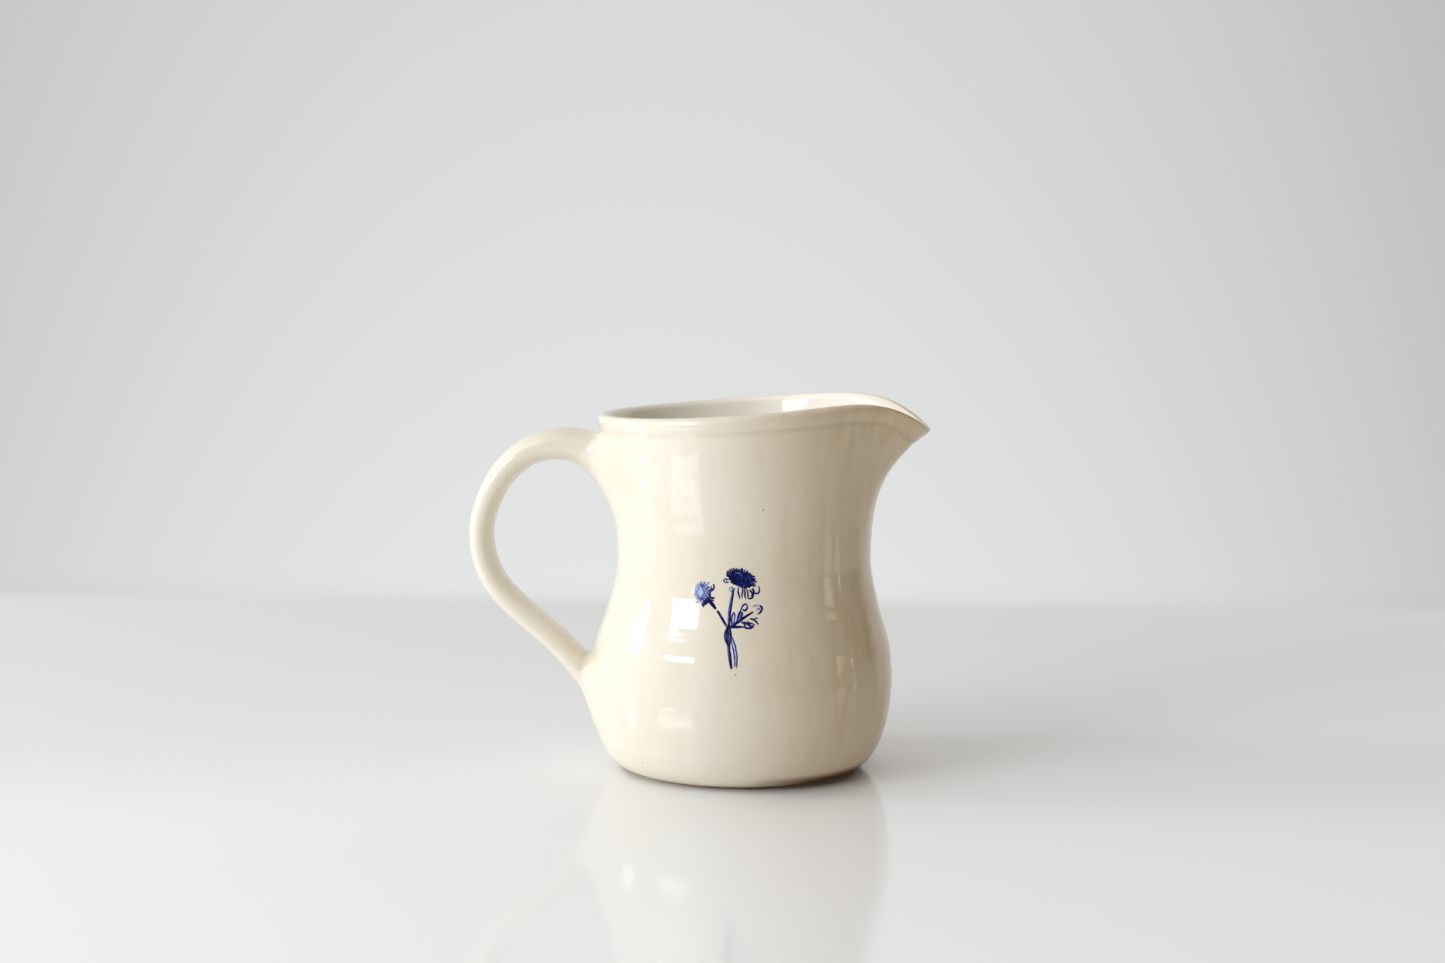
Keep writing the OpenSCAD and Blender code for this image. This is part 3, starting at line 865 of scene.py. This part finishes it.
slipLook = {
    "body": (0.78, 0.70, 0.58, 1), "pale": (0.84, 0.78, 0.68, 1),
    "brushScale": (60, 260, 60), "brushDepth": 0.00006,
}


def slipMaterial():
    s = slipLook
    material, shader, where = newMaterial("joiningSlip", {"IOR": 1.45})
    strokes = noise(stretched(where, s["brushScale"]), 1, 3)
    feed(shader, "Base Color", mixed(ranged(strokes, 0.3, 0.7), s["body"], s["pale"]))
    feed(shader, "Roughness", 0.62 + 0.2 * strokes)
    feed(shader, "Normal", bumped(strokes * s["brushDepth"]))
    return material


inkLook = {
    "pale": (0.46, 0.54, 0.80, 1), "thin": (0.09, 0.16, 0.46, 1), "cobalt": (0.004, 0.012, 0.19, 1),
    "deep": (0.0008, 0.0014, 0.06, 1), "grain": 1500, "patch": 420,
}


def inkMaterial():
    k = inkLook
    material, shader, where = newMaterial("cobaltPrint", {"IOR": 1.25, "Roughness": 0.12})
    shade = where.node("ShaderNodeAttribute", {"attribute_name": "ink"}, {}, "Fac")
    grain = ranged(noise(where, k["grain"], 2), 0.3, 0.7)
    patch = ranged(noise(where, k["patch"], 2), 0.3, 0.7)
    strength = shade + 0.16 * (grain - 0.5) + 0.22 * (patch - 0.5)
    light = mixed(ranged(strength, 0.12, 0.38), k["pale"], k["thin"])
    full = mixed(ranged(strength, 0.35, 0.68), light, k["cobalt"])
    feed(shader, "Base Color", mixed(ranged(strength, 0.7, 1.0), full, k["deep"]))
    return material


glaze = glazeMaterial()
clay = clayMaterial()
slip = slipMaterial()
cobalt = inkMaterial()
print("materials ready")

finishPiece(turnedSkin(clayBodyOutline()), "clayBody", clay, ["thrown_body"])
finishPiece(turnedSkin(glazeCoatOutline()), "vesselGlaze", glaze, ["outer_glaze", "inner_glaze"])
finishPiece(ringTube(strapRows(0, False)), "clayHandle", clay, ["pulled_handle"])
finishPiece(ringTube(slipRows(-1)), "upperSlip", slip, ["upper_slip_join"])
finishPiece(ringTube(slipRows(1)), "lowerSlip", slip, ["lower_slip_join"])
finishPiece(ringTube(handleRows(vessel["glaze"])), "handleGlaze", glaze, ["handle_glaze"])

inkCoat = [("SOLIDIFY", {"thickness": 0.06 * mm, "offset": -1})]
for bm, name, node in [(largeBlossomPrint(), "largeBlossom", "large_blossom_print"),
                       (smallBlossomPrint(), "smallBlossom", "small_blossom_print"),
                       (stemPrint(), "stems", "stem_print"), (leafPrint(), "leaf", "leaf_print")]:
    finishPiece(bm, name, cobalt, [node], inkCoat)

view = {
    "place": (0.0246, -0.5995, 0.1328), "turn": 2.79, "pitch": 5.85, "roll": 0.25, "lens": 60.54,
}


def makeCamera():
    data = bpy.data.cameras.new("camera")
    data.lens = view["lens"]
    data.sensor_width = 36
    data.clip_start = 0.01
    camera = bpy.data.objects.new("camera", data)
    camera.matrix_world = (Matrix.Translation(view["place"])
                           @ Matrix.Rotation(math.radians(view["turn"]), 4, "Z")
                           @ Matrix.Rotation(math.radians(90 - view["pitch"]), 4, "X")
                           @ Matrix.Rotation(math.radians(view["roll"]), 4, "Z"))
    bpy.context.scene.collection.objects.link(camera)
    bpy.context.scene.camera = camera


table = {
    "back": 0.303, "front": -2.5, "half": 2.5, "thickness": 0.03,
    "white": (0.875, 0.885, 0.905, 1), "shade": (0.855, 0.867, 0.885, 1), "near": (0.965, 0.975, 0.99, 1),
    "nearLightFrom": 0.03, "nearLightTo": -0.09,         # where painted light makes its top paler towards the front
    "fadeFrom": 0.052, "fadeTo": 0.012,        # how far from its back edge the table is out of focus
    "edge": 0.01, "gloss": 0.08, "unevenGloss": 0.05,
}


def tableMaterial():
    t = table
    material, shader, where = newMaterial("tableTop", {"IOR": 1.45})
    depth = axis(where, "Y")
    tone = mixed(ranged(noise(where, 3, 2), 0.3, 0.7), t["white"], t["shade"])
    # a painted pool of light: the top grows paler towards the front
    feed(shader, "Base Color", mixed(ranged(depth, t["nearLightFrom"], t["nearLightTo"]), tone, t["near"]))
    feed(shader, "Alpha", ranged(depth, t["back"] - t["fadeTo"], t["back"] - t["fadeFrom"]))
    feed(shader, "Roughness", t["gloss"] + t["unevenGloss"] * noise(where, 12, 2))
    return material


def makeTable():
    t = table
    bm = bmesh.new()
    bmesh.ops.create_cube(bm, size=1)
    bmesh.ops.scale(bm, verts=bm.verts, vec=(2 * t["half"], t["back"] - t["front"], t["thickness"]))
    bmesh.ops.translate(bm, verts=bm.verts, vec=(0, (t["back"] + t["front"]) / 2, -t["thickness"] / 2))
    bmesh.ops.bevel(bm, geom=bm.edges[:], offset=t["edge"], segments=4, profile=0.5, affect="EDGES",
                    material=-1)
    turn = Matrix.Rotation(math.radians(view["turn"]), 3, "Z")
    bmesh.ops.rotate(bm, verts=bm.verts, cent=(0, 0, 0), matrix=turn)
    mesh = bpy.data.meshes.new("tableTop")
    bm.to_mesh(mesh)
    bm.free()
    mesh.materials.append(tableMaterial())
    top = bpy.data.objects.new("tableTop", mesh)
    bpy.context.scene.collection.objects.link(top)


# A low window in two panes to the left, a soft light high above it and two small warm lamps past the
# spout: azimuth and elevation of the middle of each, its angles across and up, its radiance and colour
cold = (0.93, 0.97, 1.0)
window = {
    "distance": 1.1, "height": 0.05,
    "panes": [(-180, 14.4, 11, 6.8, 33.0, cold), (-138, 16.0, 25, 7.6, 23.0, cold),
              (-152, 42, 34, 26, 1.9, (0.97, 0.98, 1.0)), (-9, 5, 8, 12, 1.9, (1.0, 0.84, 0.62)),
              (3, 2, 3, 6, 2.6, (1.0, 0.86, 0.66))],
}


def makeWindow():
    w = window
    for azimuth, elevation, across, up, radiance, colour in w["panes"]:
        data = bpy.data.lights.new("pane", "AREA")
        data.shape = "RECTANGLE"
        data.size = 2 * w["distance"] * math.tan(math.radians(across / 2))
        data.size_y = 2 * w["distance"] * math.tan(math.radians(up / 2))
        data.energy = radiance * math.pi * data.size * data.size_y
        data.color = colour
        pane = bpy.data.objects.new("pane", data)
        flat = cosine(elevation)
        away = Vector((cosine(azimuth) * flat, sine(azimuth) * flat, sine(elevation)))
        pane.location = away * w["distance"] + Vector((0, 0, w["height"]))
        pane.rotation_mode = "QUATERNION"
        pane.rotation_quaternion = away.to_track_quat("Z", "Y")
        bpy.context.scene.collection.objects.link(pane)


# The room's walls all round by azimuth, its ceiling, and the wall behind the jug as the camera sees it
room = {
    "walls": [(-180, (0.60, 0.60, 0.59)), (-120, (0.44, 0.43, 0.41)), (-80, (0.19, 0.16, 0.12)),
              (-40, (0.10, 0.065, 0.03)), (10, (0.13, 0.09, 0.045)), (18, (0.06, 0.035, 0.01)),
              (33, (0.06, 0.035, 0.01)), (44, (0.72, 0.72, 0.71)), (130, (0.72, 0.72, 0.71)),
              (180, (0.60, 0.60, 0.59))],
    "ceiling": (0.60, 0.58, 0.55, 1),
    "paint": (0.790, 0.797, 0.800, 1), "dim": (0, 0, 0, 1),
    "brightest": -0.034, "sideFade": 2.4, "upFade": 0.54, "horizon": -0.154,
    "lowShade": 0.03, "lowShadeTo": 0.012,
}


def makeRoom():
    r = room
    world = bpy.data.worlds.new("room")
    world.use_nodes = True
    bpy.context.scene.world = world
    background = world.node_tree.nodes["Background"]
    coordinates = world.node_tree.nodes.new("ShaderNodeTexCoord")
    where = Wire(coordinates.outputs["Generated"])
    x = axis(where, "X")
    y = axis(where, "Y")
    z = axis(where, "Z")
    azimuth = where.maths("ARCTAN2", y, x) / (2 * math.pi) + 0.5
    stops = [(angle / 360 + 0.5, (*colour, 1)) for angle, colour in r["walls"]]
    around = where.node("ShaderNodeValToRGB", {"stops": stops}, {"Fac": azimuth}, "Color")
    lit = mixed(ranged(z, 0.55, 0.85), around, r["ceiling"])
    # The wall the camera sees has its light painted on: brightest near the middle, darker to the sides and
    # upwards, with a painted shade just above the table's edge
    across = x / y + math.tan(math.radians(view["turn"])) - r["brightest"]
    up = z / y - r["horizon"]
    fade = (1.0 - r["sideFade"] * across * across) * (1.0 - r["upFade"] * up)
    painted = mixed(fade - r["lowShade"] * ranged(up, r["lowShadeTo"], 0.0), r["dim"], r["paint"])
    seen = where.node("ShaderNodeLightPath", {}, {}, "Is Camera Ray")
    behind = where.maths("GREATER_THAN", y, 0.5)
    shown = mixed(seen, lit, mixed(behind, r["ceiling"], painted))
    world.node_tree.links.new(shown.socket, background.inputs["Color"])


makeCamera()
makeTable()
makeWindow()
makeRoom()
bpy.context.scene.view_settings.view_transform = "Standard"
print("studio ready")
